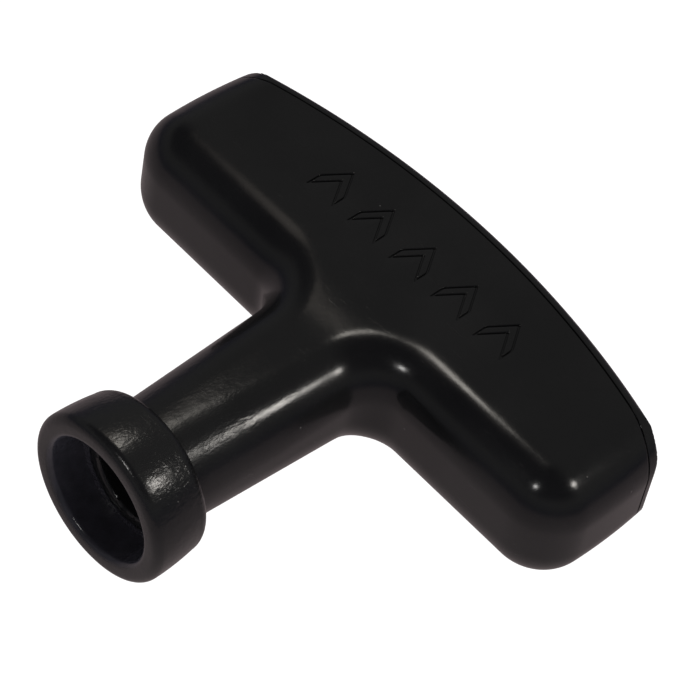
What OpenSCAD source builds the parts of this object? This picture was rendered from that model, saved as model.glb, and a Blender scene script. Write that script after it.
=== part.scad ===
// Pull grip of a recoil starter: a hollow T-shaped moulding with a back cover, a mouth collar
// and the rope hardware that sits inside it. Millimetres, +Z up, resting on the collar.
// X runs along the crossbar and -Y is the way the rope leaves.

/* [Crossbar] */
// Length of the crossbar, end to end
bar_len = 100; // [90:1:110]
// Thickness of the crossbar
bar_t = 23; // [22:0.5:26]
// Depth of the crossbar on the rope axis, from its front to the top of its curved back
bar_depth = 32; // [30:0.5:36]
// Radius of the curved back, seen from above
back_r = 154; // [140:1:220]
// Radius of the slightly bowed ends, seen from above
end_r = 100; // [80:5:200]
// Rounding of the crossbar's long and short edges
edge_r = 8.5; // [7:0.5:9]
// Rounding of the two edges of the curved back
back_edge_r = 1.8; // [1:0.2:1.8]
// Wall of the hollow crossbar
wall = 3; // [2.6:0.2:3.4]

/* [Neck] */
// Distance from the mouth to the front of the crossbar
neck_len = 46.4; // [44:0.2:54]
// Width of the neck at the crossbar
neck_w = 22.4; // [21:0.2:24]
// Height of the neck at the crossbar
neck_h = 20.9; // [20:0.1:22]
// Diameter of the neck where it enters the collar
neck_end_d = 20.4; // [20:0.2:21]
// Radius of the inside corners between neck and crossbar
fillet_r = 5.5; // [4:0.5:8]
// Diameter of the bore through the neck
neck_bore_d = 14.4; // [13:0.2:14.6]

/* [Collar] */
// Outer diameter of the collar at its mouth
collar_d = 28.9; // [28.3:0.2:31]
// Outer diameter of the collar at its rear
collar_rear_d = 27.7; // [27:0.1:28]
// Length of the collar
collar_len = 11.2; // [10:0.2:12]
// Diameter of the socket in the mouth
socket_d = 21.3; // [21.1:0.1:22]
// Depth of the socket
socket_depth = 6.6; // [6:0.2:7]
// Rounding of the collar's rear edge
collar_rear_r = 2.2; // [1:0.2:2.4]
// Rounding of the collar's rim
rim_r = 1.1; // [0.8:0.1:1.4]

/* [Rope hardware] */
// Hole for the starter rope
rope_hole_d = 5.5; // [5:0.1:6]
// Thickness of the web that carries the pull
web_t = 8; // [7:0.5:9]
// Diameter of the knot chamber
chamber_d = 15.2; // [14.8:0.2:15.6]
// Length of the rope insert
insert_len = 11; // [10:0.5:13]
// Thickness of the steel washer
washer_t = 1.2; // [1:0.1:1.6]

/* [Back cover] */
// Thickness of the back cover
cover_t = 2; // [1.8:0.1:2.4]
// Depth of the cover's tongues
tongue_len = 9; // [7:0.5:10]

/* [Direction marks] */
// How many chevrons are engraved
mark_count = 5; // [3:2:5]
// Spacing of the chevrons
mark_pitch = 9.6; // [9:0.1:11]
// Depth of the engraving
mark_depth = 0.4; // [0.2:0.1:0.6]

/* [Hidden] */

eps = 0.01;
reach = 400;           // longer than the whole part, for cutting blocks
seam_gap = 0.25;       // open seam between shell and cover
free_gap = 0.3;        // clearance round pieces that slide
rest_gap = 0.1;        // clearance between faces that rest on each other
neck_over = 1.3;       // how far the neck runs on into the collar before it is cut

// Places on the rope axis, which runs along Y at half the collar's height
axis_z = collar_d / 2;
mouth_y = -(neck_len + bar_depth) / 2;
bar_y = mouth_y + neck_len;
back_y = bar_y + bar_depth;
collar_rear_y = mouth_y + collar_len;
socket_floor_y = mouth_y + socket_depth;
web_y = bar_y - web_t / 2;
chamber_y = web_y + web_t;
cover_in_y = back_y - cover_t;

// Crossbar
arc_y = back_y - back_r;
end_mid_y = bar_y + 0.4 * bar_depth;
end_x = end_r - bar_len / 2;
core_r = end_r - edge_r;

// Pockets that hollow the arms
pocket_in_x = 10.5;
pocket_out_x = bar_len / 2 - wall - 1.5;
pocket_y = bar_y + wall;
pocket_h = bar_t - 2 * wall;
pocket_chamfer = 3;
rib_t = 1.6;
rib_depth = 9;
rib_xs = [22, 34];

// Spigot on which the collar is pressed, and the bevel inside its rim
spigot_d = 18.6;
lead_in = 0.7;

// Ferrule
ferrule_d = 7.6;
ferrule_lip_d = 11.2;
ferrule_lip_t = 0.9;
ferrule_flare = 0.7;

// Rope insert
insert_d = chamber_d - 2 * free_gap;
insert_waist_d = 12.4;
insert_flange = 2.6;
knot_cup_d = 10;
knot_cup_depth = 5.5;
tail_slot_w = 3.4;
tail_slot_depth = 3.5;
insert_y = chamber_y + rest_gap + washer_t + rest_gap;
washer_d = 14;

// Cover
tongue_t = 1.8;
tongue_w = 11;
tongue_x = 29;
end_face_y = arc_y + sqrt(pow(back_r - cover_t / 2, 2) - pow(bar_len / 2, 2));
end_face_x = sqrt(end_r * end_r - pow(end_face_y - end_mid_y, 2)) - end_x;

// Marks
mark_w = 6.4;
mark_h = 8.6;
mark_arm = 3.6;
mark_line = 0.45;
mark_y = bar_y + 18;

// A cylinder along the rope axis, from y0 to y1
module along_axis(y0, y1, d) {
    translate([0, y0, axis_z])
        rotate([-90, 0, 0])
            cylinder(h = y1 - y0, d = d, $fn = 96);
}

// A ring turned about the rope axis: the outline's first value is the radius, the second is Y
module turned(outline) {
    translate([0, 0, axis_z])
        rotate([-90, 0, 0])
            rotate_extrude($fn = 96)
                polygon(outline);
}

// Points of a quarter round, for the corners of turned outlines
function quarter(cx, cy, r, from) =
    [for (i = [0:6]) [cx + r * cos(from + 15 * i), cy + r * sin(from + 15 * i)]];

// Area between the two bowed ends, drawn for a given bow radius
module between_ends(r) {
    intersection() {
        translate([-end_x, end_mid_y]) circle(r = r, $fn = 180);
        translate([end_x, end_mid_y]) circle(r = r, $fn = 180);
    }
}

// Plan of the crossbar's core: its outline drawn in by the edge rounding, running on past the back
module bar_core_plan() {
    intersection() {
        between_ends(core_r);
        translate([-bar_len / 2, bar_y + edge_r]) square([bar_len, bar_depth]);
    }
}

// Plan of the two webs that fill the inside corners between neck and crossbar, as a core
module web_core_plan() {
    arc_r = fillet_r + edge_r;
    side_x = (neck_w / 2 - edge_r) + arc_r;
    front_y = bar_y + edge_r;
    side = [for (i = [0:7]) let (a = 90 + 90 * i / 7)
        [side_x + arc_r * cos(a), front_y - arc_r + arc_r * sin(a)]];
    other_side = [for (i = [7:-1:0]) [-side[i][0], side[i][1]]];
    polygon(concat([[side_x, front_y + 2]], side, other_side, [[-side_x, front_y + 2]]));
}

// Core of the neck: a rounded bar that turns into a round rod at the collar
module neck_core() {
    core_w = neck_w - 2 * edge_r;
    core_h = neck_h - 2 * edge_r;
    hull() {
        translate([-core_w / 2, bar_y, axis_z - core_h / 2])
            cube([core_w, edge_r, core_h]);
        translate([0, collar_rear_y - edge_r - neck_over, axis_z])
            rotate([-90, 0, 0])
                cylinder(h = edge_r, d = neck_end_d - 2 * edge_r, $fn = 16);
    }
}

// Outer form of neck and crossbar, before the back is cut to its curve
module tee_form() {
    minkowski() {
        union() {
            translate([0, 0, axis_z - bar_t / 2 + edge_r])
                linear_extrude(height = bar_t - 2 * edge_r)
                    bar_core_plan();
            translate([0, 0, axis_z - neck_h / 2 + edge_r])
                linear_extrude(height = neck_h - 2 * edge_r)
                    web_core_plan();
            neck_core();
        }
        sphere(r = edge_r, $fn = 28);
    }
}

// Everything behind a curve that is parallel to the back, inset by the given amount
module behind_back(inset) {
    difference() {
        translate([-reach / 2, bar_y + edge_r, axis_z - bar_t])
            cube([reach, reach / 2, 2 * bar_t]);
        translate([0, arc_y, axis_z - bar_t - eps])
            cylinder(h = 2 * bar_t + 2 * eps, r = back_r - inset, $fn = 360);
    }
}

// Inside of one arm, with the ribs left standing at its front
module arm_pocket() {
    half_h = pocket_h / 2;
    c = pocket_chamfer;
    difference() {
        intersection() {
            translate([0, 0, axis_z - half_h])
                linear_extrude(height = pocket_h)
                    polygon([
                        [pocket_in_x, pocket_y],
                        [pocket_out_x - 2 * c, pocket_y],
                        [pocket_out_x, pocket_y + 2 * c],
                        [pocket_out_x, back_y],
                        [pocket_in_x, back_y]
                    ]);
            translate([pocket_in_x - eps, 0, axis_z])
                rotate([90, 0, 90])
                    linear_extrude(height = pocket_out_x)
                        polygon([
                            [pocket_y - eps, c - half_h],
                            [pocket_y + c, -half_h - eps],
                            [back_y + eps, -half_h - eps],
                            [back_y + eps, half_h + eps],
                            [pocket_y + c, half_h + eps],
                            [pocket_y - eps, half_h - c]
                        ]);
        }
        for (x = rib_xs)
            translate([x - rib_t / 2, pocket_y - 1, axis_z - bar_t / 2])
                cube([rib_t, rib_depth + 1, bar_t]);
    }
}

// One chevron in outline, pointing the way the grip is pulled
module chevron() {
    difference() {
        chevron_area(0);
        chevron_area(mark_line);
    }
}

// Solid chevron, drawn in from its full size by a margin
module chevron_area(margin) {
    rise = mark_h - mark_arm;
    slope = rise / (mark_w / 2);
    side = margin * sqrt(1 + slope * slope);
    x = mark_w / 2 - margin;
    drop = slope * margin;
    polygon([
        [0, mark_h / 2 - side],
        [x, mark_h / 2 - rise - side + drop],
        [x, mark_h / 2 - rise - mark_arm + side + drop],
        [0, mark_h / 2 - mark_arm + side],
        [-x, mark_h / 2 - rise - mark_arm + side + drop],
        [-x, mark_h / 2 - rise - side + drop]
    ]);
}

module marks() {
    for (i = [0:mark_count - 1])
        translate([(i - (mark_count - 1) / 2) * mark_pitch, mark_y, axis_z + bar_t / 2 - mark_depth])
            linear_extrude(height = 2 * mark_depth)
                chevron();
}

module grip_shell() {
    color("#161618")
        difference() {
            union() {
                difference() {
                    tee_form();
                    translate([-reach / 2, collar_rear_y - reach, -reach / 2])
                        cube([reach, reach, reach]);
                }
                along_axis(socket_floor_y, collar_rear_y + 1, spigot_d);
            }
            behind_back(cover_t + seam_gap);
            along_axis(mouth_y, web_y, neck_bore_d);
            along_axis(web_y - 1, chamber_y + 1, ferrule_d);
            along_axis(chamber_y, back_y + eps, chamber_d);
            arm_pocket();
            mirror([1, 0, 0]) arm_pocket();
            marks();
        }
}

// Curved plate with rounded edges, its ends cut to the shell's outline
module cover_plate() {
    half_t = bar_t / 2;
    e = back_edge_r;
    inner_r = back_r - cover_t;
    intersection() {
        translate([0, arc_y, axis_z])
            rotate([0, 0, 65])
                rotate_extrude(angle = 50, $fn = 360)
                    polygon(concat(
                        [[inner_r, -half_t]],
                        quarter(back_r - e, e - half_t, e, -90),
                        quarter(back_r - e, half_t - e, e, 0),
                        [[inner_r, half_t]]
                    ));
        translate([0, back_y + eps, axis_z])
            rotate([90, 0, 0])
                linear_extrude(height = bar_depth)
                    hull()
                        for (sx = [-1, 1], sz = [-1, 1])
                            translate([sx * (end_face_x - edge_r), sz * (half_t - edge_r)])
                                circle(r = edge_r, $fn = 48);
    }
}

// Springy tongue that wedges in a pocket of the shell, drawn on past the plate
module tongue(x, side) {
    z = axis_z + side * (pocket_h / 2 - free_gap - tongue_t / 2);
    translate([x - tongue_w / 2, cover_in_y - tongue_len, z - tongue_t / 2])
        cube([tongue_w, tongue_len + cover_t, tongue_t]);
}

module back_cover() {
    color("#161618")
        union() {
            cover_plate();
            intersection() {
                for (sx = [-1, 1], sz = [-1, 1])
                    tongue(sx * tongue_x, sz);
                translate([0, arc_y, axis_z - bar_t])
                    cylinder(h = 2 * bar_t, r = back_r - cover_t / 2, $fn = 360);
            }
        }
}

module neck_collar() {
    rear_r = collar_rear_d / 2;
    front_r = collar_d / 2;
    socket_r = socket_d / 2;
    color("#1a1a1c")
        turned(concat(
            [[spigot_d / 2, socket_floor_y], [socket_r, socket_floor_y]],
            [[socket_r, mouth_y + lead_in], [socket_r + lead_in, mouth_y]],
            quarter(front_r - rim_r, mouth_y + rim_r, rim_r, -90),
            quarter(rear_r - collar_rear_r, collar_rear_y - collar_rear_r, collar_rear_r, 0),
            [[spigot_d / 2, collar_rear_y]]
        ));
}

module rope_ferrule() {
    r = rope_hole_d / 2;
    f = ferrule_flare;
    color("#8c8c8e")
        turned([
            [r + f, web_y - ferrule_lip_t],
            [ferrule_lip_d / 2, web_y - ferrule_lip_t],
            [ferrule_lip_d / 2, web_y],
            [ferrule_d / 2, web_y],
            [ferrule_d / 2, chamber_y],
            [r + f, chamber_y],
            [r, chamber_y - f],
            [r, web_y - ferrule_lip_t + f]
        ]);
}

module knot_washer() {
    color("#a4a6a8")
        translate([0, rest_gap, 0])
            difference() {
                along_axis(chamber_y, chamber_y + washer_t, washer_d);
                along_axis(chamber_y - eps, chamber_y + washer_t + eps, rope_hole_d + 0.6);
            }
}

module rope_insert() {
    end_y = insert_y + insert_len;
    color("#2a2a2c")
        difference() {
            union() {
                along_axis(insert_y, end_y, insert_waist_d);
                along_axis(insert_y, insert_y + insert_flange, insert_d);
                along_axis(end_y - insert_flange, end_y, insert_d);
            }
            along_axis(insert_y - eps, end_y + eps, rope_hole_d);
            along_axis(end_y - knot_cup_depth, end_y + eps, knot_cup_d);
            translate([-tail_slot_w / 2, end_y - tail_slot_depth, axis_z])
                cube([tail_slot_w, tail_slot_depth + 1, insert_d]);
        }
}

grip_shell();
back_cover();
neck_collar();
rope_ferrule();
knot_washer();
rope_insert();
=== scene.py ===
"""Looks for the pull grip: smooth moulded surfaces, engraved chevrons and worn black plastic."""
import math

import bpy
import numpy as np
from mathutils import Matrix, Vector
from mathutils.geometry import delaunay_2d_cdt


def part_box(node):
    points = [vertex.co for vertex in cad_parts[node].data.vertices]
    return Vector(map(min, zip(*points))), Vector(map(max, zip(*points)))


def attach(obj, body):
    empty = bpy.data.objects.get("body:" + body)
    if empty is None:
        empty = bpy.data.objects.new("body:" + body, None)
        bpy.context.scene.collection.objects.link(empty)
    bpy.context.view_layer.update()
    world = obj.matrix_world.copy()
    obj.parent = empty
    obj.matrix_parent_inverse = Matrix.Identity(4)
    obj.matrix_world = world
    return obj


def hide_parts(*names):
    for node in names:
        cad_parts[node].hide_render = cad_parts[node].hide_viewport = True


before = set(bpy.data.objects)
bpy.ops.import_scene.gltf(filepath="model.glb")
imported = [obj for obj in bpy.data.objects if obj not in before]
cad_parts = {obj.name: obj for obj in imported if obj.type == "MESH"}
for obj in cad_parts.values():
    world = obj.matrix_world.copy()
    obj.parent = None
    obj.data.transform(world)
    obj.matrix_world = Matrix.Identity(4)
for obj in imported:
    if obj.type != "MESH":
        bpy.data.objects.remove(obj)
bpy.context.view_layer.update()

MM = 0.001

# ---------------------------------------------------------------- sizes, in millimetres

BAR_LEN = 100.0
BAR_T = 23.0
BAR_DEPTH = 32.0
BACK_R = 154.0
END_R = 100.0
END_MID = 0.4 * BAR_DEPTH
EDGE_R = 8.5
BACK_EDGE_R = 1.8
BACK_CORNER_R = 1.2
COVER_T = 2.0
SEAM_GAP = 0.07
SEAM_BEVEL = 0.14
WALL = 3.0

NECK_HALF_W = 11.2
NECK_HALF_H = 10.45
NECK_END_R = 10.2
FILLET_R = 5.5
RISE = 15.0  # length over which the neck's top climbs to the crossbar's
RISE_SPREAD = 0.04  # how fast the climb starts earlier away from the middle
NECK_BORE_R = 7.2

RIM_R = 1.6
COLLAR_REAR_R = 2.2
COLLAR_REAR_DROP = 0.6
SOCKET_R = 10.65
SOCKET_DEPTH = 6.6
LEAD_IN = 1.1
SPIGOT_R = 9.3

WEB_T = 8.0
CHAMBER_R = 7.6
FERRULE_R = 3.8
FERRULE_LIP_R = 5.6
FERRULE_LIP_T = 0.9
FERRULE_FLARE = 0.7
ROPE_R = 2.75

INSERT_FLANGE = 2.6
INSERT_WAIST_R = 6.2
KNOT_CUP_R = 5.0
KNOT_CUP_DEPTH = 5.5
TAIL_SLOT_W = 3.4
TAIL_SLOT_DEPTH = 3.5

POCKET_IN_X = 10.5
POCKET_OUT_X = BAR_LEN / 2 - WALL - 1.5
POCKET_CORNER_R = 3.0
RIB_T = 1.6
RIB_DEPTH = 9.0
RIB_XS = (22.0, 34.0)

TONGUE_X = 29.0
TONGUE_W = 11.0
TONGUE_T = 1.8
TONGUE_LEN = 9.0
TONGUE_GAP = 0.3

MARK_COUNT = 5
MARK_PITCH = 9.6
MARK_W = 6.4
MARK_H = 8.6
MARK_ARM = 3.6
MARK_LINE = 0.58
MARK_DEPTH = 0.34
MARK_FROM_FRONT = 18.0

# Grid steps of the meshes: finer along the seam, on the cover's back and on the insert
STEP_X = 0.56
STEP_Y = 0.55
STEP_Z = 0.5
SEAM_STEP = 0.14
COVER_STEP = 0.3
TONGUE_STEP = 0.5
INSERT_STEP = 0.3

CREASE = 50  # degrees: edges sharper than this are shaded crisp

# ---------------------------------------------------------------- places, from the frame

collar_lo, collar_hi = [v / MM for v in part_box("neck_collar")]
cover_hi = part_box("back_cover")[1] / MM
insert_lo, insert_hi = [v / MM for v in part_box("rope_insert")]
washer_lo, washer_hi = [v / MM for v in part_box("knot_washer")]

AXIS_Z = (collar_lo.z + collar_hi.z) / 2
COLLAR_R = (collar_hi.z - collar_lo.z) / 2
MOUTH_Y = collar_lo.y
COLLAR_REAR_Y = collar_hi.y
BACK_Y = round(cover_hi.y, 1)
BAR_Y = BACK_Y - BAR_DEPTH
WEB_Y = BAR_Y - WEB_T / 2
CHAMBER_Y = WEB_Y + WEB_T
TOP_Z = AXIS_Z + BAR_T / 2
SEAM_R = BACK_R - COVER_T
ARC_Y = BACK_Y - BACK_R


# ---------------------------------------------------------------- distance fields

def rounded_both(a, b, r):
    """Distance to what lies in both a and b, with their common edge rounded to radius r."""
    near = (a > -r) & (b > -r)
    blend = np.hypot(np.maximum(a + r, 0), np.maximum(b + r, 0)) - r
    return np.where(near, blend, np.maximum(a, b))


def rounded_either(a, b, r):
    """Distance to what lies in a or b, with the corner between them filled to radius r."""
    return -rounded_both(-a, -b, r)


def slab(v, low, high):
    return np.maximum(low - v, v - high)


def radius_from_axis(x, z):
    return np.hypot(x, z - AXIS_Z)


def back_curve(x, y):
    """Distance outside the curved back."""
    return np.hypot(x, y - ARC_Y) - BACK_R


def body_field(x, y, z):
    """Neck and crossbar as one smooth form.

    The neck is round at the collar and a rounded square at the crossbar, and its top and bottom
    rise gently to the crossbar's. All edges are soft, apart from the tight ones along the back."""
    t = np.clip((y - COLLAR_REAR_Y) / (BAR_Y - COLLAR_REAR_Y), 0, 1)
    half_w = NECK_END_R + (NECK_HALF_W - NECK_END_R) * t
    corner = NECK_END_R + (EDGE_R - NECK_END_R) * t
    start = BAR_Y - RISE / 2 - RISE_SPREAD * np.maximum(np.abs(x) - NECK_END_R / 2, 0) ** 2
    rise = np.clip((y - start) / RISE, 0, 1)
    half_h = NECK_END_R + (NECK_HALF_H - NECK_END_R) * t
    half_h = half_h + (BAR_T / 2 - half_h) * rise ** 3 * (10 - 15 * rise + 6 * rise ** 2)

    end = np.hypot(np.abs(x) + END_R - BAR_LEN / 2, y - BAR_Y - END_MID) - END_R
    plan = rounded_either(BAR_Y - y, np.abs(x) - half_w, FILLET_R)
    plan = rounded_both(plan, end, EDGE_R)
    dx = plan + corner
    dz = np.abs(z - AXIS_Z) - half_h + corner
    soft = np.hypot(np.maximum(dx, 0), np.maximum(dz, 0)) + np.minimum(np.maximum(dx, dz), 0) - corner
    tight = rounded_both(back_curve(x, y), end, BACK_CORNER_R)
    tight = rounded_both(tight, np.abs(z - AXIS_Z) - BAR_T / 2, BACK_EDGE_R)
    return np.maximum(np.maximum(soft, tight), COLLAR_REAR_Y - y)


def pocket_field(x, y, z):
    """The hollow of both arms, with their ribs left standing."""
    side = slab(np.abs(x), POCKET_IN_X, POCKET_OUT_X)
    front = BAR_Y + WALL - y
    high = np.abs(z - AXIS_Z) - (BAR_T / 2 - WALL)
    hollow = rounded_both(rounded_both(side, front, POCKET_CORNER_R), high, POCKET_CORNER_R)
    for rib_x in RIB_XS:
        across = slab(np.abs(x), rib_x - RIB_T / 2, rib_x + RIB_T / 2)
        hollow = np.maximum(hollow, -np.maximum(across, y - BAR_Y - WALL - RIB_DEPTH))
    return hollow


def shell_field(x, y, z):
    """The whole moulding, hollows included."""
    radius = radius_from_axis(x, z)
    spigot = np.maximum(radius - SPIGOT_R, slab(y, MOUTH_Y + SOCKET_DEPTH, COLLAR_REAR_Y + 2))
    solid = np.minimum(body_field(x, y, z), spigot)
    solid = rounded_both(solid, back_curve(x, y) + COVER_T + SEAM_GAP, SEAM_BEVEL)
    hollow = np.maximum(radius - NECK_BORE_R, y - WEB_Y)
    hollow = np.minimum(hollow, np.maximum(radius - FERRULE_R, slab(y, WEB_Y - 1, CHAMBER_Y + 1)))
    hollow = np.minimum(hollow, np.maximum(radius - CHAMBER_R, CHAMBER_Y - y))
    hollow = np.minimum(hollow, pocket_field(x, y, z))
    return rounded_both(solid, -hollow, 0.4)


def cover_field(x, y, z):
    """The cover plate and its four tongues."""
    plate = rounded_both(body_field(x, y, z), -(back_curve(x, y) + COVER_T), SEAM_BEVEL)
    across = np.abs(np.abs(x) - TONGUE_X) - TONGUE_W / 2
    reach = slab(y, BACK_Y - COVER_T - TONGUE_LEN, BACK_Y - COVER_T)
    reach = np.maximum(reach, back_curve(x, y) + COVER_T - 1)
    top = BAR_T / 2 - WALL - TONGUE_GAP
    thick = slab(np.abs(z - AXIS_Z), top - TONGUE_T, top)
    tongue = rounded_both(rounded_both(across, reach, 0.8), thick, 0.5)
    return rounded_either(plate, tongue, 0.5)


# ---------------------------------------------------------------- meshes from fields

def gradient(field, points, step=0.02):
    columns = []
    for axis in range(3):
        shift = np.zeros(3)
        shift[axis] = step
        columns.append((field(*(points + shift).T) - field(*(points - shift).T)) / (2 * step))
    return np.stack(columns, 1)


def settle(field, points, rounds=4, longest=0.3):
    """Moves points onto the field's surface."""
    for _ in range(rounds):
        slope = gradient(field, points)
        move = field(*points.T)[:, None] * slope / np.maximum((slope ** 2).sum(1), 0.05)[:, None]
        length = np.linalg.norm(move, axis=1, keepdims=True)
        points = points - move * np.minimum(1, longest / np.maximum(length, 1e-9))
    return points


def net_vertices(values, cells):
    """For each cell that the surface passes through, the mean of its edge crossings, in grid steps."""
    corners = [np.array((i, j, k)) for i in (0, 1) for j in (0, 1) for k in (0, 1)]
    total = np.zeros((len(cells), 3))
    count = np.zeros(len(cells))
    for a in corners:
        for b in corners:
            if (b - a).sum() != 1 or (b - a).min() < 0:
                continue
            va, vb = values[tuple((cells + a).T)], values[tuple((cells + b).T)]
            crossed = (va < 0) != (vb < 0)
            share = np.where(crossed, va / np.where(crossed, va - vb, 1), 0)
            total += np.where(crossed[:, None], a + (b - a) * share[:, None], 0)
            count += crossed
    return cells + total / count[:, None]


def net_quads(inside, number):
    """One quad round each grid edge that the surface crosses, facing out."""
    quads = []
    for axis in range(3):
        u, v = (axis + 1) % 3, (axis + 2) % 3
        low = [slice(1, -1)] * 3
        high = [slice(1, -1)] * 3
        low[axis], high[axis] = slice(0, -1), slice(1, None)
        crossed = inside[tuple(low)] != inside[tuple(high)]
        at = np.stack(np.nonzero(crossed), 1)
        at[:, u] += 1
        at[:, v] += 1
        eu, ev = np.eye(3, dtype=int)[u], np.eye(3, dtype=int)[v]
        around = [number[tuple((at - d).T)] for d in (eu + ev, ev, 0 * eu, eu)]
        ring = np.stack(around, 1)
        outward = inside[tuple(at.T)]
        quads.append(np.where(outward[:, None], ring, ring[:, ::-1]))
    return np.concatenate(quads)


def surface(field, xs, ss, zs, place_y=None):
    """Vertices and quads of the field's surface on the grid xs, ss, zs.

    place_y(x, s) bends the grid's middle direction, so that its lines can follow a curved edge."""
    place_y = place_y or (lambda x, s: s)
    gx, gs, gz = np.meshgrid(xs, ss, zs, indexing="ij")
    values = field(gx, place_y(gx, gs), gz)
    inside = values < 0
    filled = sum(
        inside[i:len(xs) - 1 + i, j:len(ss) - 1 + j, k:len(zs) - 1 + k].astype(int)
        for i in (0, 1) for j in (0, 1) for k in (0, 1)
    )
    cells = np.stack(np.nonzero((filled > 0) & (filled < 8)), 1)
    number = -np.ones(filled.shape, int)
    number[tuple(cells.T)] = np.arange(len(cells))
    steps = net_vertices(values, cells)
    x, s, z = [np.interp(steps[:, i], np.arange(len(g)), g) for i, g in enumerate((xs, ss, zs))]
    points = settle(field, np.stack([x, place_y(x, s), z], 1))
    return points, net_quads(inside, number)


def along_back(x, s):
    """Bends grid lines from straight at the front to the seam's curve at the back."""
    sag = SEAM_R - np.sqrt(SEAM_R ** 2 - x ** 2)
    t = np.clip((s - BAR_Y - EDGE_R) / (BAR_DEPTH - EDGE_R - 5), 0, 1)
    return s - t * t * (3 - 2 * t) * sag


def grid_through(middle, step, low, high):
    """Grid lines a step apart, with a face at `middle` half way between two of them."""
    first = math.floor((low - middle) / step)
    last = math.ceil((high - middle) / step)
    return middle + step * (np.arange(first, last + 1) + 0.5)


# ---------------------------------------------------------------- engraved chevrons

def inset_corners(margin):
    """The six corners of a chevron, drawn in from its full size by a margin."""
    rise = MARK_H - MARK_ARM
    slope = rise / (MARK_W / 2)
    side = margin * math.hypot(1, slope)
    x = MARK_W / 2 - margin
    drop = slope * margin
    right = [
        (0, MARK_H / 2 - side),
        (x, MARK_H / 2 - rise - side + drop),
        (x, MARK_H / 2 - rise - MARK_ARM + side + drop),
        (0, MARK_H / 2 - MARK_ARM + side),
    ]
    left = [(-x, y) for _, y in (right[2], right[1])]
    return np.array(right + left)


def rounded_loop(corners, reach, pieces=4):
    """A closed outline with each corner turned into a short curve."""
    points = []
    for i, corner in enumerate(corners):
        before = corners[i - 1] - corner
        after = corners[(i + 1) % len(corners)] - corner
        start = corner + before / np.linalg.norm(before) * reach
        end = corner + after / np.linalg.norm(after) * reach
        for t in np.linspace(0, 1, pieces + 1):
            points.append((1 - t) ** 2 * start + 2 * t * (1 - t) * corner + t * t * end)
    return np.array(points)


def groove_loops(centre):
    """Outlines of one groove, each with its depth: down from the outer lip, across, up to the inner."""
    profile = [
        (0.0, 0.0),
        (0.06, 0.015),
        (0.11, 0.05),
        (0.16, 0.13),
        (0.19, MARK_DEPTH),
        (MARK_LINE - 0.19, MARK_DEPTH),
        (MARK_LINE - 0.16, 0.13),
        (MARK_LINE - 0.11, 0.05),
        (MARK_LINE - 0.06, 0.015),
        (MARK_LINE, 0.0),
    ]
    return [(rounded_loop(inset_corners(m), 0.35) + centre, depth) for m, depth in profile]


def odd_crossings(points, starts, ends):
    """For each point, whether a ray from it crosses an odd number of the segments."""
    px, py = points[:, 0][:, None], points[:, 1][:, None]
    ax, ay, bx, by = starts[:, 0], starts[:, 1], ends[:, 0], ends[:, 1]
    spans = (ay > py) != (by > py)
    rise = np.where(by == ay, 1, by - ay)
    return (spans & (px < ax + (py - ay) / rise * (bx - ax))).sum(1) % 2 == 1


def engrave(points, quads):
    """Cuts the chevrons into the flat face.

    The quads under them give way to a patch of triangles with the grooves in it."""
    mid_y = BAR_Y + MARK_FROM_FRONT
    half_x = MARK_PITCH * (MARK_COUNT - 1) / 2 + MARK_W / 2 + 1
    half_y = MARK_H / 2 + 1
    flat = np.abs(points[:, 2] - TOP_Z) < 1e-3
    centres = points[quads].mean(1)
    near = (np.abs(centres[:, 0]) < half_x) & (np.abs(centres[:, 1] - mid_y) < half_y)
    under = flat[quads].all(1) & near

    edges = np.concatenate([quads[under][:, [i, (i + 1) % 4]] for i in range(4)])
    keys = np.sort(edges, 1)
    _, first, times = np.unique(keys, axis=0, return_index=True, return_counts=True)
    rim = edges[first[times == 1]]
    rim_ids = np.unique(rim)
    local = {old: new for new, old in enumerate(rim_ids)}
    flat_points = list(points[rim_ids][:, :2])
    flat_edges = [(local[a], local[b]) for a, b in rim]
    known = list(rim_ids)

    new_points, new_faces = [], []
    for i in range(MARK_COUNT):
        centre = np.array([(i - (MARK_COUNT - 1) / 2) * MARK_PITCH, mid_y])
        loops = groove_loops(centre)
        size = len(loops[0][0])
        base = len(points) + len(new_points)
        for outline, depth in loops:
            new_points += [(x, y, TOP_Z - depth) for x, y in outline]
        for ring in range(len(loops) - 1):
            for a in range(size):
                b = (a + 1) % size
                low, high = base + ring * size, base + (ring + 1) * size
                new_faces.append((low + a, high + a, high + b, low + b))
        for ring in (0, len(loops) - 1):
            begin = len(flat_points)
            flat_points += list(loops[ring][0])
            flat_edges += [(begin + a, begin + (a + 1) % size) for a in range(size)]
            known += [base + ring * size + a for a in range(size)]

    verts, _, faces, sources, _, _ = delaunay_2d_cdt(
        [Vector(p) for p in flat_points], flat_edges, [], 0, 1e-6, True
    )
    verts = np.array(verts)
    ids = [known[s[0]] for s in sources]
    faces = np.array([f for f in faces if len(f) == 3])
    starts = np.array([flat_points[a] for a, _ in flat_edges])
    ends = np.array([flat_points[b] for _, b in flat_edges])
    kept = faces[odd_crossings(verts[faces].mean(1), starts, ends)]
    patch = [tuple(ids[i] for i in f) for f in kept]

    all_points = np.concatenate([points, np.array(new_points)])
    return all_points, [tuple(q) for q in quads[~under]] + patch + new_faces


# ---------------------------------------------------------------- objects

def add_mesh(name, points, faces, sharp_angle=None):
    """A smooth-shaded object from points in millimetres."""
    mesh = bpy.data.meshes.new(name)
    mesh.from_pydata((np.asarray(points) * MM).tolist(), [], [tuple(map(int, f)) for f in faces])
    mesh.validate()
    mesh.shade_smooth()
    if sharp_angle:
        mesh.set_sharp_from_angle(angle=math.radians(sharp_angle))
    obj = bpy.data.objects.new(name, mesh)
    bpy.context.scene.collection.objects.link(obj)
    return obj


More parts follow.
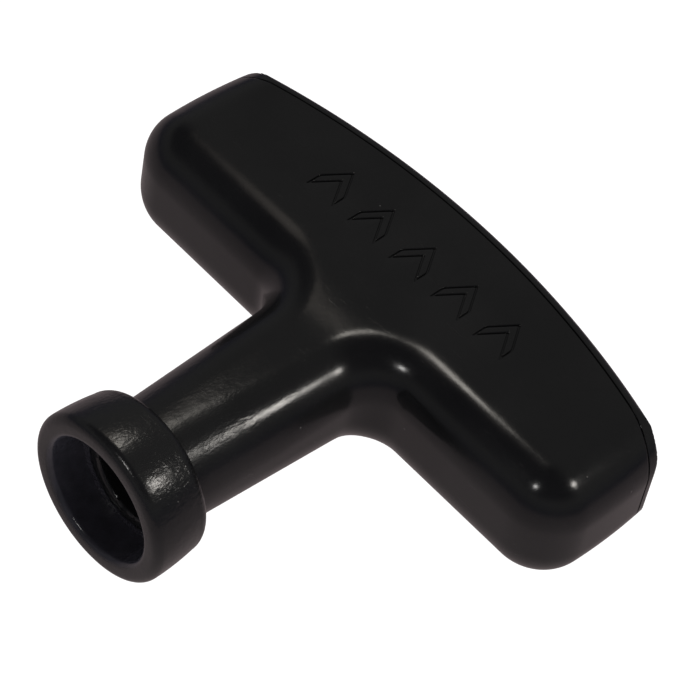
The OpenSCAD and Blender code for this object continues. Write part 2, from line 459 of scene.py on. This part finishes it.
def arc(cx, cy, r, start, end, pieces=8):
    """Points of an arc, for outlines that are turned about the rope axis."""
    angles = np.radians(np.linspace(start, end, pieces + 1))
    return [(cx + r * math.cos(a), cy + r * math.sin(a)) for a in angles]


def turned(name, outline, segments):
    """A ring: the closed outline's points are (radius, y), turned about the rope axis."""
    points, faces = [], []
    size = len(outline)
    for i in range(segments):
        a = 2 * math.pi * i / segments
        points += [(r * math.cos(a), y, AXIS_Z + r * math.sin(a)) for r, y in outline]
    for i in range(segments):
        j = (i + 1) % segments
        for k in range(size):
            n = (k + 1) % size
            faces.append((i * size + k, i * size + n, j * size + n, j * size + k))
    return add_mesh(name, points, faces, CREASE)


def make_grip_body():
    """Shell of crossbar and neck, with its hollows, seam edge and chevrons."""
    xs = grid_through(STEP_X / 2, STEP_X, -BAR_LEN / 2 - 1, BAR_LEN / 2 + 1)
    seam = BACK_Y - COVER_T - SEAM_GAP
    plain = grid_through(BAR_Y, STEP_Y, MOUTH_Y + SOCKET_DEPTH - 1, seam - 1.2)
    fine = seam + SEAM_STEP / 2 + SEAM_STEP * np.arange(-6, 3)
    ss = np.concatenate([plain[plain < fine[0] - 0.2], fine])
    zs = grid_through(TOP_Z, STEP_Z, AXIS_Z - BAR_T / 2 - 1, TOP_Z + 0.6)
    points, quads = surface(shell_field, xs, ss, zs, along_back)
    points, faces = engrave(points, quads)
    return add_mesh("grip_body", points, faces, CREASE)


def make_cover():
    """Curved plate that closes the back, with its tongues."""
    xs = grid_through(STEP_X / 2, STEP_X, -BAR_LEN / 2 - 1, BAR_LEN / 2 + 1)
    seam = BACK_Y - COVER_T
    fine = seam + SEAM_STEP / 2 + SEAM_STEP * np.arange(-2, 4)
    back = grid_through(BACK_Y, COVER_STEP, seam + 0.5, BACK_Y + 0.6)
    front = grid_through(seam, TONGUE_STEP, seam - TONGUE_LEN - 1, seam - 0.5)
    ss = np.concatenate([front[front < fine[0] - 0.1], fine, back[back > fine[-1] + 0.1]])
    zs = grid_through(TOP_Z, STEP_Z, AXIS_Z - BAR_T / 2 - 1, TOP_Z + 0.6)
    points, quads = surface(cover_field, xs, ss, zs, along_back)
    return add_mesh("back_cover_plate", points, quads, CREASE)


def make_collar():
    """Ring round the mouth: rounded rim, slightly barrelled side, softer rear corner."""
    rear = COLLAR_R - COLLAR_REAR_DROP
    floor_y = MOUTH_Y + SOCKET_DEPTH
    outline = [(SPIGOT_R + 0.02, COLLAR_REAR_Y), (SPIGOT_R + 0.02, floor_y), (SOCKET_R, floor_y)]
    outline += arc(SOCKET_R + LEAD_IN, MOUTH_Y + LEAD_IN, LEAD_IN, 180, 270)
    outline += arc(COLLAR_R - RIM_R, MOUTH_Y + RIM_R, RIM_R, -90, 0)
    low, high = MOUTH_Y + RIM_R, COLLAR_REAR_Y - COLLAR_REAR_R
    for t in np.linspace(0.1, 0.95, 12):
        outline.append((COLLAR_R + (rear - COLLAR_R) * t * t, low + (high - low) * t))
    outline += arc(rear - COLLAR_REAR_R, COLLAR_REAR_Y - COLLAR_REAR_R, COLLAR_REAR_R, 0, 90, 12)
    return turned("collar_ring", outline[::-1], 256)


def make_ferrule():
    """Flanged eyelet through the web, flared at both ends."""
    lip_y = WEB_Y - FERRULE_LIP_T
    throat = ROPE_R + FERRULE_FLARE
    edge_r = 0.4
    outside = FERRULE_R - 0.02
    outline = arc(throat, lip_y + FERRULE_FLARE, FERRULE_FLARE, 180, 270)
    outline += arc(FERRULE_LIP_R - edge_r, lip_y + edge_r, edge_r, -90, 0, 4)
    outline += [(FERRULE_LIP_R, WEB_Y), (outside, WEB_Y), (outside, CHAMBER_Y)]
    outline += arc(throat, CHAMBER_Y - FERRULE_FLARE, FERRULE_FLARE, 90, 180)
    return turned("rope_eyelet", outline[::-1], 96)


def make_washer():
    """Flat steel ring with bevelled edges."""
    inner, outer, bevel = ROPE_R + 0.3, (washer_hi.x - washer_lo.x) / 2, 0.15
    low, high = washer_lo.y, washer_hi.y
    outline = arc(outer - bevel, low + bevel, bevel, -90, 0, 3)
    outline += arc(outer - bevel, high - bevel, bevel, 0, 90, 3)
    outline += [(inner + bevel, high), (inner, high - bevel), (inner, low + bevel), (inner + bevel, low)]
    return turned("washer_disc", outline[::-1], 96)


def insert_field(x, y, z):
    """Spool with the rope's hole, the knot's cup and the slot for the rope's tail."""
    radius = radius_from_axis(x, z)
    length = slab(y, insert_lo.y, insert_hi.y)
    waist = slab(y, insert_lo.y + INSERT_FLANGE, insert_hi.y - INSERT_FLANGE)
    spool = rounded_both(radius - (insert_hi.x - insert_lo.x) / 2, length, 0.4)
    spool = rounded_both(spool, -np.maximum(INSERT_WAIST_R - radius, waist), 0.3)
    cup = np.maximum(radius - KNOT_CUP_R, insert_hi.y - KNOT_CUP_DEPTH - y)
    tail = np.maximum(insert_hi.y - TAIL_SLOT_DEPTH - y, AXIS_Z - z)
    tail = np.maximum(slab(x, -TAIL_SLOT_W / 2, TAIL_SLOT_W / 2), tail)
    hollow = np.minimum(np.minimum(radius - ROPE_R, cup), tail)
    return rounded_both(spool, -hollow, 0.35)


def make_insert():
    half = (insert_hi.x - insert_lo.x) / 2
    margin = 2 * INSERT_STEP
    xs = grid_through(INSERT_STEP / 2, INSERT_STEP, -half - margin, half + margin)
    ys = grid_through(insert_lo.y, INSERT_STEP, insert_lo.y - margin, insert_hi.y + margin)
    points, quads = surface(insert_field, xs, ys, xs + AXIS_Z)
    return add_mesh("knot_insert", points, quads, CREASE)


# ---------------------------------------------------------------- materials

class Nodes:
    """Short calls for building one material's node tree."""

    def __init__(self, name):
        self.material = bpy.data.materials.new(name)
        self.material.use_nodes = True
        self.tree = self.material.node_tree
        self.shader = self.tree.nodes["Principled BSDF"]

    def add(self, kind, settings=None, **inputs):
        node = self.tree.nodes.new(kind)
        for key, value in (settings or {}).items():
            setattr(node, key, value)
        for key, value in inputs.items():
            self.put(node.inputs[key.replace("_", " ")], value)
        return node

    def put(self, socket, value):
        if isinstance(value, bpy.types.NodeSocket):
            self.tree.links.new(value, socket)
        else:
            socket.default_value = value

    def math(self, operation, a, b=0.0):
        node = self.add("ShaderNodeMath", {"operation": operation})
        self.put(node.inputs[0], a)
        self.put(node.inputs[1], b)
        return node.outputs[0]

    def ramp(self, value, low, high, to_low=0.0, to_high=1.0):
        node = self.add("ShaderNodeMapRange", {"interpolation_type": "SMOOTHSTEP"}, Value=value)
        for key, v in (("From Min", low), ("From Max", high), ("To Min", to_low), ("To Max", to_high)):
            node.inputs[key].default_value = v
        return node.outputs[0]

    def millimetres(self):
        """The surface's own coordinates, in millimetres."""
        where = self.add("ShaderNodeTexCoord").outputs["Object"]
        node = self.add("ShaderNodeVectorMath", {"operation": "SCALE"})
        self.put(node.inputs[0], where)
        node.inputs["Scale"].default_value = 1 / MM
        return node.outputs[0]

    def noise(self, where, scale, detail=2.0, roughness=0.5):
        node = self.add("ShaderNodeTexNoise", Vector=where, Scale=scale)
        node.inputs["Detail"].default_value = detail
        node.inputs["Roughness"].default_value = roughness
        return node.outputs[0]

    def stretched(self, where, turn, scale):
        node = self.add("ShaderNodeMapping", Vector=where)
        node.inputs["Rotation"].default_value = turn
        node.inputs["Scale"].default_value = scale
        return node.outputs[0]

    def total(self, values):
        result = values[0]
        for value in values[1:]:
            result = self.math("ADD", result, value)
        return result

    def bump(self, height, depth_mm, normal=None):
        node = self.add("ShaderNodeBump", Height=height, Distance=depth_mm * MM, Strength=1.0)
        if normal is not None:
            self.put(node.inputs["Normal"], normal)
        return node.outputs[0]

    def over(self, factor, base, colour):
        """Lays a plain colour over the base, which is a colour or another node's."""
        node = self.add("ShaderNodeMix", {"data_type": "RGBA"})
        self.put(node.inputs[0], factor)
        self.put(node.inputs[6], base)
        node.inputs[7].default_value = (*colour, 1)
        return node.outputs[2]

    def colour(self, factor, low, high):
        """A blend of two plain colours."""
        return self.over(factor, (*low, 1), high)

    def rope_axis_radius(self, parts):
        """Distance from the rope axis, from the separate coordinates in millimetres."""
        up = self.math("SUBTRACT", parts["Z"], AXIS_Z)
        squares = self.math("ADD", self.math("POWER", parts["X"], 2.0), self.math("POWER", up, 2.0))
        return self.math("SQRT", squares)


def scratches(n, where):
    """Sparse hairlines in three directions, in patches: 1 on a line, 0 elsewhere."""
    along, across, lowest = 0.16, 5.5, 0.73
    lines = []
    for turn in ((0.2, 0.1, 0.55), (0.0, 0.3, -0.9), (0.1, -0.2, 1.5)):
        line = n.noise(n.stretched(where, turn, (along, across, across)), 1.0, 1.0)
        patch = n.noise(n.stretched(where, turn, (0.11, 0.13, 0.12)), 1.0, 1.0)
        lines.append(n.math("MULTIPLY", n.ramp(line, lowest, lowest + 0.03), n.ramp(patch, 0.45, 0.6)))
    return n.total(lines)


def dust(n, where):
    """Small pale specks, a few to the square centimetre."""
    cells = n.add("ShaderNodeTexVoronoi", Vector=where, Scale=0.28)
    picked = n.math("GREATER_THAN", cells.outputs["Color"], 0.72)
    speck = n.ramp(cells.outputs["Distance"], 0.045, 0.02)
    return n.math("MULTIPLY", picked, speck)


def rubbed(n, where):
    """How much the surface is rubbed: most at the neck's collar end, not at all on the crossbar."""
    y = n.add("ShaderNodeSeparateXYZ", Vector=where).outputs["Y"]
    near = n.ramp(y, BAR_Y - 2, COLLAR_REAR_Y + 6)
    return n.math("MULTIPLY", near, n.ramp(n.noise(where, 0.16, 2.0), 0.35, 0.6, 0.35, 1.0))


def moulded_plastic(name, dark, light, rough_low, rough_high):
    """Glossy black moulding with faint flow marks, hairlines, dust and a rubbed neck."""
    n = Nodes(name)
    where = n.millimetres()
    cloud = n.noise(where, 0.06, 3.0)
    grain = n.noise(where, 2.4, 3.0, 0.6)
    ripple = n.noise(where, 0.42, 2.0)
    lines = scratches(n, where)
    specks = dust(n, where)
    worn = rubbed(n, where)
    tone = n.math("ADD", n.math("MULTIPLY", cloud, 0.7), n.math("MULTIPLY", grain, 0.3))
    base = n.colour(n.ramp(tone, 0.35, 0.65), dark, light)
    dusty = n.over(n.math("MULTIPLY", specks, 0.5), base, (0.32, 0.31, 0.30))
    rough = n.ramp(tone, 0.35, 0.65, rough_low, rough_high)
    rough = n.total([rough, n.math("MULTIPLY", lines, 0.07), n.math("MULTIPLY", worn, 0.02)])
    normal = n.bump(ripple, 0.016)
    normal = n.bump(grain, 0.0014, normal)
    normal = n.bump(lines, 0.003, normal)
    chafe = n.noise(n.stretched(where, (0, 0, 0.35), (1.7, 0.7, 1.7)), 1.0, 2.0, 0.6)
    normal = n.bump(n.math("MULTIPLY", chafe, worn), 0.05, normal)
    n.put(n.shader.inputs["Base Color"], dusty)
    n.put(n.shader.inputs["Roughness"], rough)
    n.put(n.shader.inputs["Normal"], normal)
    n.shader.inputs["IOR"].default_value = 1.5
    n.shader.inputs["Specular IOR Level"].default_value = 0.5
    return n


def collar_plastic():
    """The collar's plastic, rubbed into short strokes most of all towards its rear, with painted bluish
    light inside the mouth.
    """
    n = moulded_plastic("collar_black", (0.010, 0.010, 0.0105), (0.015, 0.015, 0.0155), 0.13, 0.20)
    where = n.millimetres()
    parts = n.add("ShaderNodeSeparateXYZ", Vector=where).outputs
    angle = n.math("ARCTAN2", n.math("SUBTRACT", parts["Z"], AXIS_Z), parts["X"])
    strokes = n.add("ShaderNodeCombineXYZ")
    n.put(strokes.inputs["X"], n.math("MULTIPLY", angle, 30.0))
    n.put(strokes.inputs["Y"], n.math("MULTIPLY", parts["Y"], 0.9))
    stroke = n.noise(strokes.outputs[0], 1.0, 2.0, 0.7)
    rear = n.ramp(parts["Y"], MOUTH_Y + 1.5, COLLAR_REAR_Y - 4.0, 0.3, 1.0)
    worn = n.math("MULTIPLY", rear, n.ramp(n.noise(where, 0.22, 2.0), 0.35, 0.6, 0.4, 1.0))
    height = n.math("MULTIPLY", stroke, worn)
    last = n.shader.inputs["Normal"].links[0].from_socket
    n.put(n.shader.inputs["Normal"], n.bump(height, 0.10, last))

    # Painted light: a mottled bluish-grey lightening laid over the base colour inside the socket, in place
    # of the light in the mouth's shaded hollow.
    inside = n.ramp(n.rope_axis_radius(parts), SOCKET_R + LEAD_IN, SOCKET_R)
    painted_mouth_light = n.math("MULTIPLY", inside, n.ramp(n.noise(where, 0.5, 3.0), 0.2, 0.8, 0.6, 1.0))
    clean = n.shader.inputs["Base Color"].links[0].from_socket
    n.put(n.shader.inputs["Base Color"], n.over(painted_mouth_light, clean, (0.046, 0.044, 0.056)))
    return n.material


def plated_steel(name, colour, rough):
    """Turned and plated steel: fine rings about the rope axis, and dulled patches."""
    n = Nodes(name)
    where = n.millimetres()
    parts = n.add("ShaderNodeSeparateXYZ", Vector=where).outputs
    rings = n.add("ShaderNodeCombineXYZ")
    n.put(rings.inputs["X"], n.math("MULTIPLY", n.rope_axis_radius(parts), 9.0))
    n.put(rings.inputs["Y"], n.math("MULTIPLY", parts["Y"], 9.0))
    ring = n.noise(rings.outputs[0], 1.0, 2.0)
    cloud = n.noise(where, 0.5, 3.0)
    dull = tuple(c * 0.72 for c in colour)
    n.put(n.shader.inputs["Base Color"], n.colour(n.ramp(cloud, 0.35, 0.65), dull, colour))
    n.put(n.shader.inputs["Roughness"], n.ramp(n.math("ADD", ring, cloud), 0.7, 1.3, rough, rough + 0.18))
    n.put(n.shader.inputs["Normal"], n.bump(ring, 0.004))
    n.shader.inputs["Metallic"].default_value = 1.0
    return n.material


def satin_nylon():
    """Dark moulded nylon with a fine grain."""
    n = Nodes("insert_nylon")
    where = n.millimetres()
    grain = n.noise(where, 3.5, 3.0, 0.65)
    cloud = n.noise(where, 0.3, 2.0)
    tone = n.colour(n.ramp(cloud, 0.3, 0.7), (0.030, 0.030, 0.032), (0.048, 0.047, 0.047))
    n.put(n.shader.inputs["Base Color"], tone)
    n.put(n.shader.inputs["Roughness"], n.ramp(grain, 0.3, 0.7, 0.42, 0.58))
    n.put(n.shader.inputs["Normal"], n.bump(grain, 0.012))
    return n.material


def finish_piece(obj, body, node, material):
    """Gives the piece its finish, rides it on its body, and hides the CAD node it stands for."""
    obj.data.materials.append(material)
    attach(obj, body)
    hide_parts(node)


# ---------------------------------------------------------------- studio

def mm_point(x, y, z):
    """A place given in millimetres, as Blender's metres."""
    return Vector((x, y, z)) * MM


def aim(obj, target, roll=0.0):
    """Turns a light or camera to face the target, then rolls it about its own axis."""
    back = (obj.location - target).normalized()
    right = Vector((0, 0, 1)).cross(back).normalized()
    up = back.cross(right)
    turn = Matrix((right, up, back)).transposed()
    obj.rotation_euler = (turn @ Matrix.Rotation(roll, 3, "Z")).to_euler()


def add_camera():
    """The photograph's view: a long lens from the right front, well above the part."""
    azimuth, elevation, roll = math.radians(38.24), math.radians(50.26), math.radians(12.09)
    distance = 0.5089
    target = mm_point(1.25, BAR_Y + 4.45, AXIS_Z)
    back = Vector((
        math.sin(azimuth) * math.cos(elevation),
        -math.cos(azimuth) * math.cos(elevation),
        math.sin(elevation),
    ))
    data = bpy.data.cameras.new("camera")
    data.sensor_width = 36.0
    data.lens = 167.2
    data.clip_start, data.clip_end = 0.01, 20.0
    camera = bpy.data.objects.new("camera", data)
    bpy.context.scene.collection.objects.link(camera)
    camera.location = target + back * distance
    aim(camera, target, roll)
    bpy.context.scene.camera = camera


def add_lamp(name, place, target, across, radiance, colour=(1, 1, 1)):
    """A round lamp, `across` millimetres wide, of a given brightness to the eye."""
    data = bpy.data.lights.new(name, "AREA")
    data.shape = "DISK"
    data.size = across * MM
    data.color = colour
    data.energy = radiance * math.pi * math.pi * (across * MM / 2) ** 2
    lamp = bpy.data.objects.new(name, data)
    bpy.context.scene.collection.objects.link(lamp)
    lamp.location = mm_point(*place)
    aim(lamp, mm_point(*target))


def add_lights():
    """Two small overhead lights for the long edge highlights, two more for the spots and the neck."""
    middle = (5, BAR_Y, TOP_Z)
    add_lamp("overhead_lamp", (-40, BAR_Y + 21, TOP_Z + 140), middle, 31, 7.6, (1.0, 0.95, 0.87))
    add_lamp("overhead_panel", (-76, BAR_Y + 20, TOP_Z + 145), middle, 60, 0.6, (1.0, 0.90, 0.80))
    add_lamp("right_lamp", (136, BAR_Y + 56, 142), middle, 26, 23.0, (1.0, 0.96, 0.90))
    add_lamp("front_lamp", (25, -132, 165), middle, 22, 24.0, (1.0, 0.98, 0.96))


def world_ramp(tree, value, low, high, stops):
    """A colour that changes with a value, by stops placed between low (0) and high (1)."""
    place = tree.nodes.new("ShaderNodeMapRange")
    place.inputs["From Min"].default_value = low
    place.inputs["From Max"].default_value = high
    tree.links.new(value, place.inputs["Value"])
    shades = tree.nodes.new("ShaderNodeValToRGB")
    while len(shades.color_ramp.elements) < len(stops):
        shades.color_ramp.elements.new(0.5)
    for stop, (position, colour) in zip(shades.color_ramp.elements, stops):
        stop.position = position
        stop.color = (*colour, 1)
    tree.links.new(place.outputs[0], shades.inputs[0])
    return shades.outputs[0]


def add_world():
    """A dim grey room: dark at the horizon and over the front, warmer below, a grey wall behind."""
    world = bpy.data.worlds.new("studio")
    world.use_nodes = True
    tree = world.node_tree
    where = tree.nodes.new("ShaderNodeTexCoord").outputs["Generated"]
    parts = tree.nodes.new("ShaderNodeSeparateXYZ")
    tree.links.new(where, parts.inputs[0])
    by_height = world_ramp(tree, parts.outputs["Z"], -1.0, 1.0, (
        (0.00, (0.30, 0.25, 0.25)),
        (0.42, (0.25, 0.21, 0.22)),
        (0.52, (0.06, 0.06, 0.09)),
        (0.60, (0.13, 0.13, 0.14)),
        (0.70, (0.17, 0.17, 0.17)),
        (0.80, (0.17, 0.17, 0.17)),
    ))
    by_depth = world_ramp(tree, parts.outputs["Y"], -1.0, 1.0, (
        (0.50, (0.30, 0.30, 0.36)),
        (0.68, (1.0, 1.0, 1.0)),
    ))
    high = world_ramp(tree, parts.outputs["Z"], 0.0, 1.0, (
        (0.40, (0.0, 0.0, 0.0)),
        (0.62, (1.0, 1.0, 1.0)),
    ))
    shade = tree.nodes.new("ShaderNodeMix")
    shade.data_type = "RGBA"
    shade.blend_type = "MULTIPLY"
    tree.links.new(high, shade.inputs[0])
    tree.links.new(by_height, shade.inputs[6])
    tree.links.new(by_depth, shade.inputs[7])
    tree.links.new(shade.outputs[2], tree.nodes["Background"].inputs["Color"])
    bpy.context.scene.world = world
    bpy.context.scene.view_settings.view_transform = "Standard"


def add_floor():
    """A pale table just under the collar's lowest line.

    It glows to plain white and is kept out of the reflections, which show the room instead."""
    half, gap = 2000.0, 0.05
    corners = [(-half, -half, -gap), (half, -half, -gap), (half, half, -gap), (-half, half, -gap)]
    floor = add_mesh("floor", corners, [(0, 1, 2, 3)])
    n = Nodes("pale_table")
    where = n.millimetres()
    cloud = n.noise(where, 0.004, 2.0)
    n.put(n.shader.inputs["Base Color"], n.colour(cloud, (0.30, 0.29, 0.29), (0.32, 0.31, 0.31)))
    n.shader.inputs["Roughness"].default_value = 0.7
    n.shader.inputs["Emission Color"].default_value = (1.0, 1.0, 1.0, 1)
    n.shader.inputs["Emission Strength"].default_value = 1.05
    floor.data.materials.append(n.material)
    floor.visible_glossy = False


# ---------------------------------------------------------------- the scene

add_camera()

grip_look = moulded_plastic("grip_black", (0.009, 0.009, 0.0095), (0.013, 0.013, 0.0135), 0.15, 0.24)
grip_plastic = grip_look.material
finish_piece(make_grip_body(), "grip", "grip_shell", grip_plastic)
finish_piece(make_cover(), "cover", "back_cover", grip_plastic)
finish_piece(make_collar(), "grip", "neck_collar", collar_plastic())
eyelet_steel = plated_steel("eyelet_steel", (0.52, 0.52, 0.53), 0.28)
finish_piece(make_ferrule(), "grip", "rope_ferrule", eyelet_steel)
washer_steel = plated_steel("washer_steel", (0.60, 0.61, 0.62), 0.22)
finish_piece(make_washer(), "washer", "knot_washer", washer_steel)
finish_piece(make_insert(), "insert", "rope_insert", satin_nylon())

add_lights()
add_world()
add_floor()
